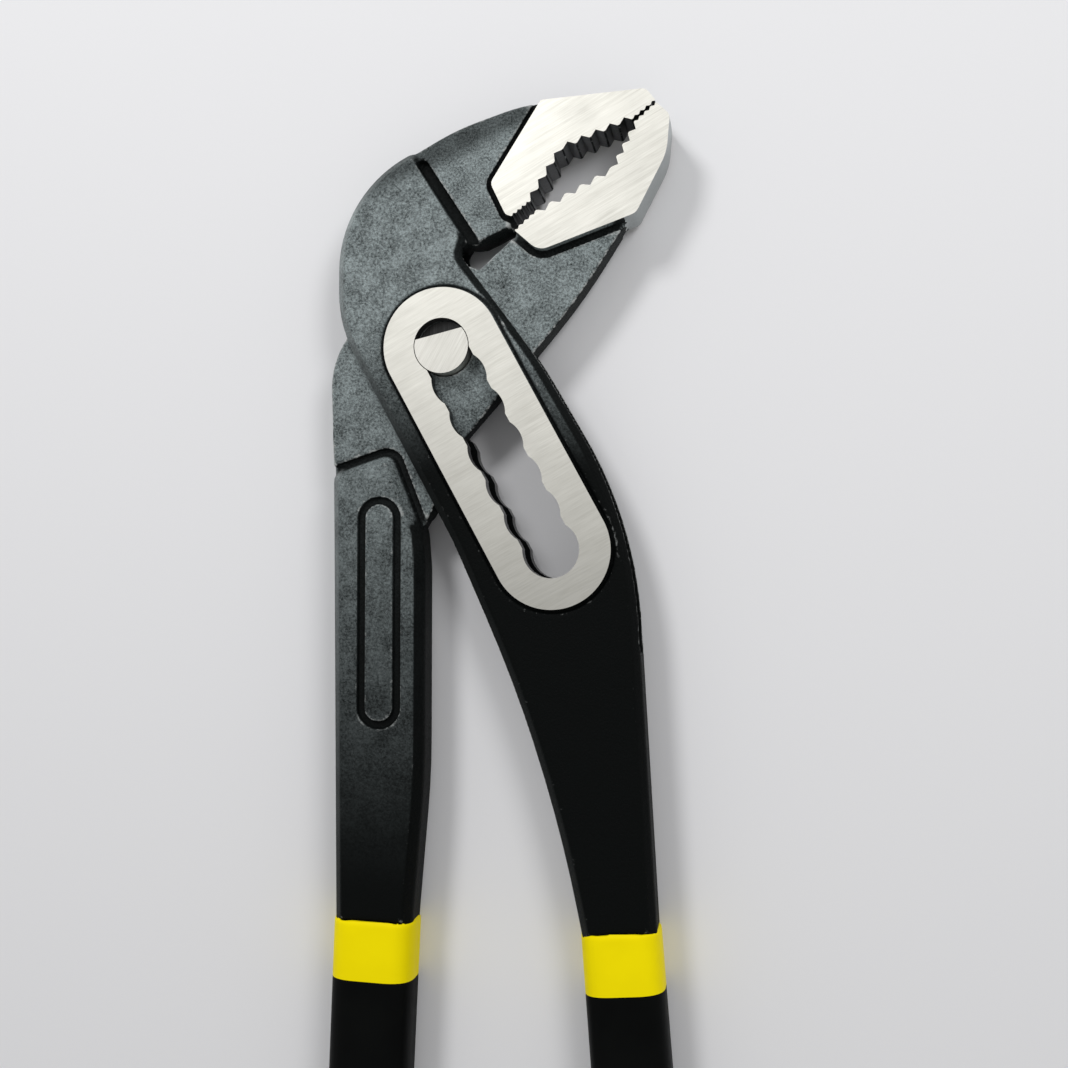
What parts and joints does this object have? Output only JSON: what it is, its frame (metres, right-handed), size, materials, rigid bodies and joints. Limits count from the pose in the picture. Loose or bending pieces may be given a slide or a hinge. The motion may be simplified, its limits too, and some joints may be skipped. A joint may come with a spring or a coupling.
{
  "type": "water pump pliers",
  "caption": "Slip-joint gripping pliers with a box joint: one lever passes through a slotted window in the other, toothed jaws with a pipe notch, scalloped seats and dipped grips.",
  "frame": {"origin": "axis of the pivot pin at the first seat, on the back face of the tool", "axes": "+Y from the pivot towards the jaws, along the tool's length; +X towards the jaw openings' side; +Z out of the front face, along the pivot"},
  "size_m": [0.0698, 0.25, 0.012],
  "materials": {
    "forged_steel": "dark forged, matte, with ground faces on jaws and boss",
    "ground_steel": "ground",
    "black_vinyl": "matte dipped",
    "yellow_vinyl": "satin dipped"
  },
  "bodies": {
    "slotted_lever": {"slotted_arm": "forged_steel", "right_grip": "black_vinyl", "right_grip_collar": "yellow_vinyl"},
    "pin_core": {"pivot_core": "ground_steel"},
    "through_lever": {"through_arm": "forged_steel", "pivot_pin": "ground_steel", "left_grip": "black_vinyl", "left_grip_collar": "yellow_vinyl"}
  },
  "joints": [
    {"name": "slot_shift", "type": "slide", "parent": "slotted_lever", "child": "pin_core", "axis": [0.4756, -0.8797, 0], "range_m": [0, 0.042]},
    {"name": "jaw_pivot", "type": "hinge", "parent": "pin_core", "child": "through_lever", "pos_m": [0, 0, 0], "axis": [0, 0, -1], "range_deg": [0, 60]}
  ]
}
